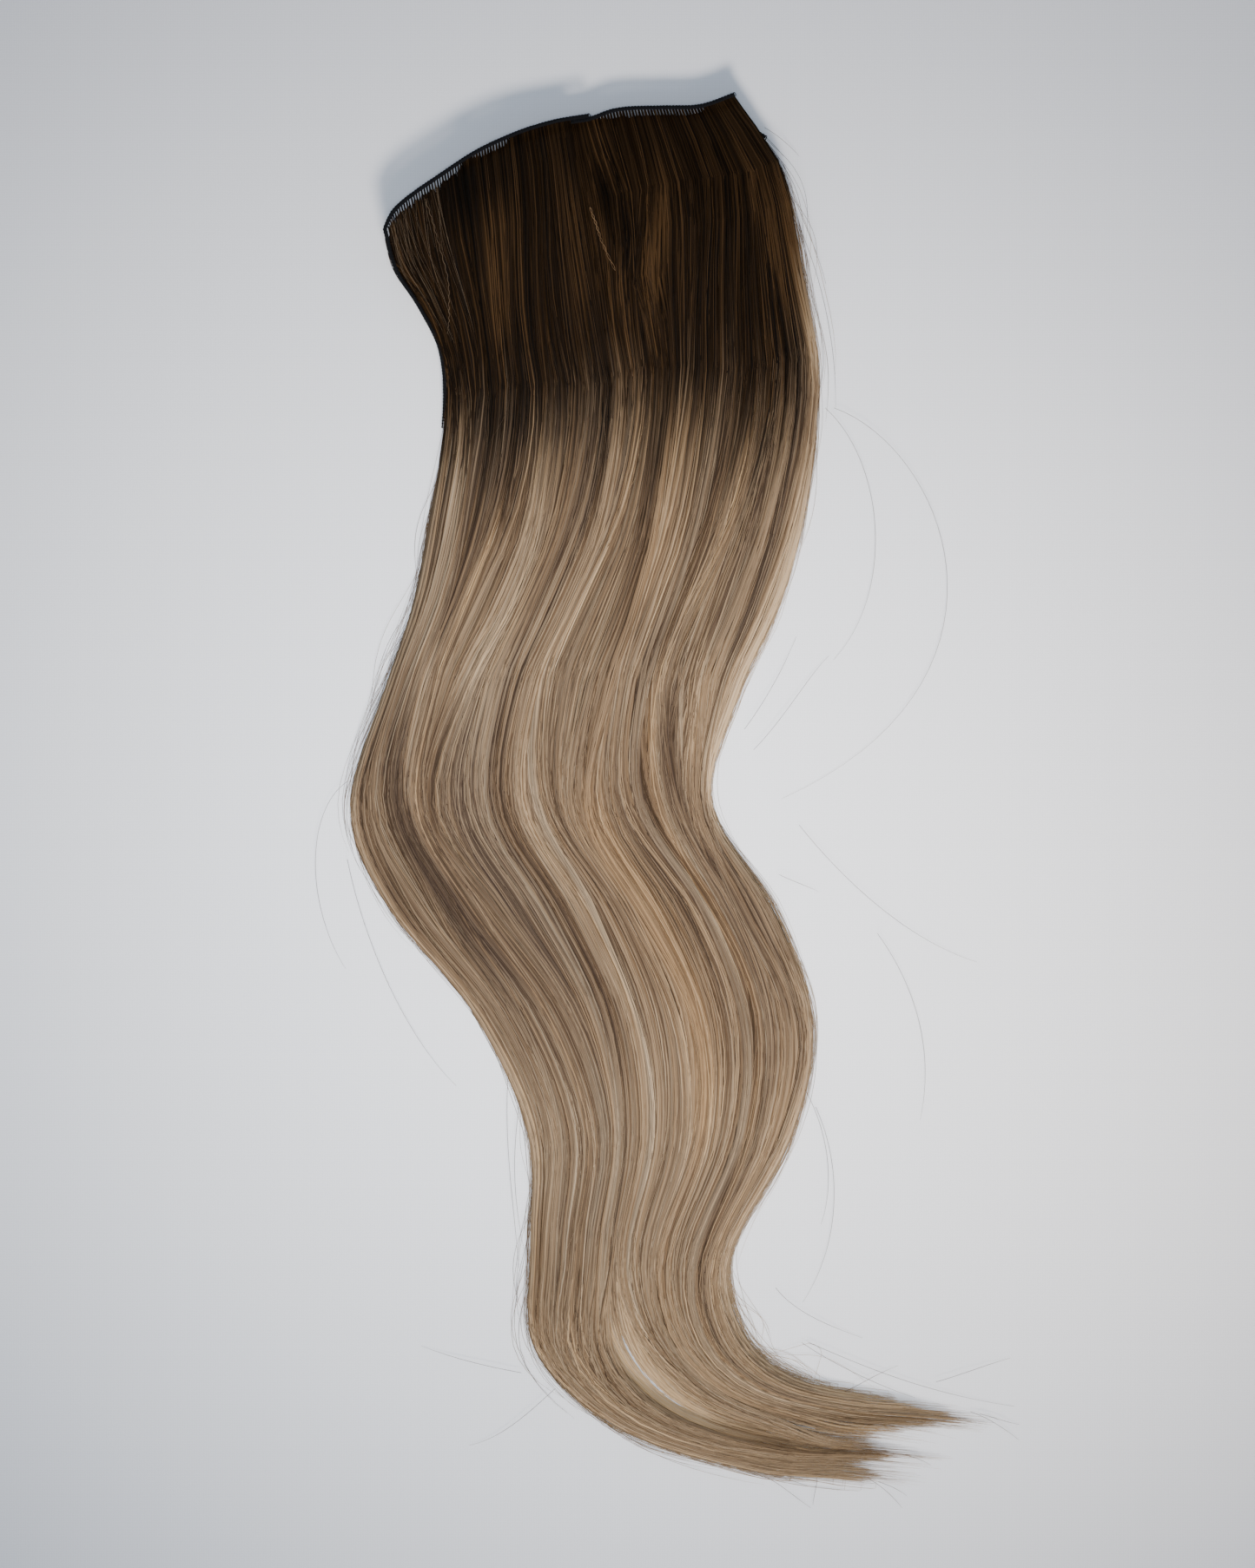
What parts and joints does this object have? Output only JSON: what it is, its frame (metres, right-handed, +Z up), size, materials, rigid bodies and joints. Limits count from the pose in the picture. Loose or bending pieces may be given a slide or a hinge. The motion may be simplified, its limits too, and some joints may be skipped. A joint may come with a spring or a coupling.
{
  "type": "hair weft",
  "caption": "Hair weft lying flat: a folded sewn band with a wide curtain of long wavy hair, dark at the roots and blonde below, its ends curled to one side.",
  "frame": {"origin": "middle of the whole part's box seen from above, on the surface that it lies on", "axes": "+Y along the length of the hair towards the sewn edge, +X towards the side that the ends curl to, +Z up from the surface"},
  "size_m": [0.2414, 0.5308, 0.0188],
  "materials": {
    "front_hair": "soft sheen of brushed hair",
    "back_hair": "soft sheen of brushed hair",
    "under_hair": "soft sheen of brushed hair",
    "front_band": "matt stitched thread",
    "back_band": "matt stitched thread",
    "under_band": "matt stitched thread"
  },
  "bodies": {
    "root": {"hair_front": "front_hair", "hair_back": "back_hair", "hair_under": "under_hair", "weft_band_front": "front_band", "weft_band_back": "back_band", "weft_band_under": "under_band"}
  },
  "joints": []
}
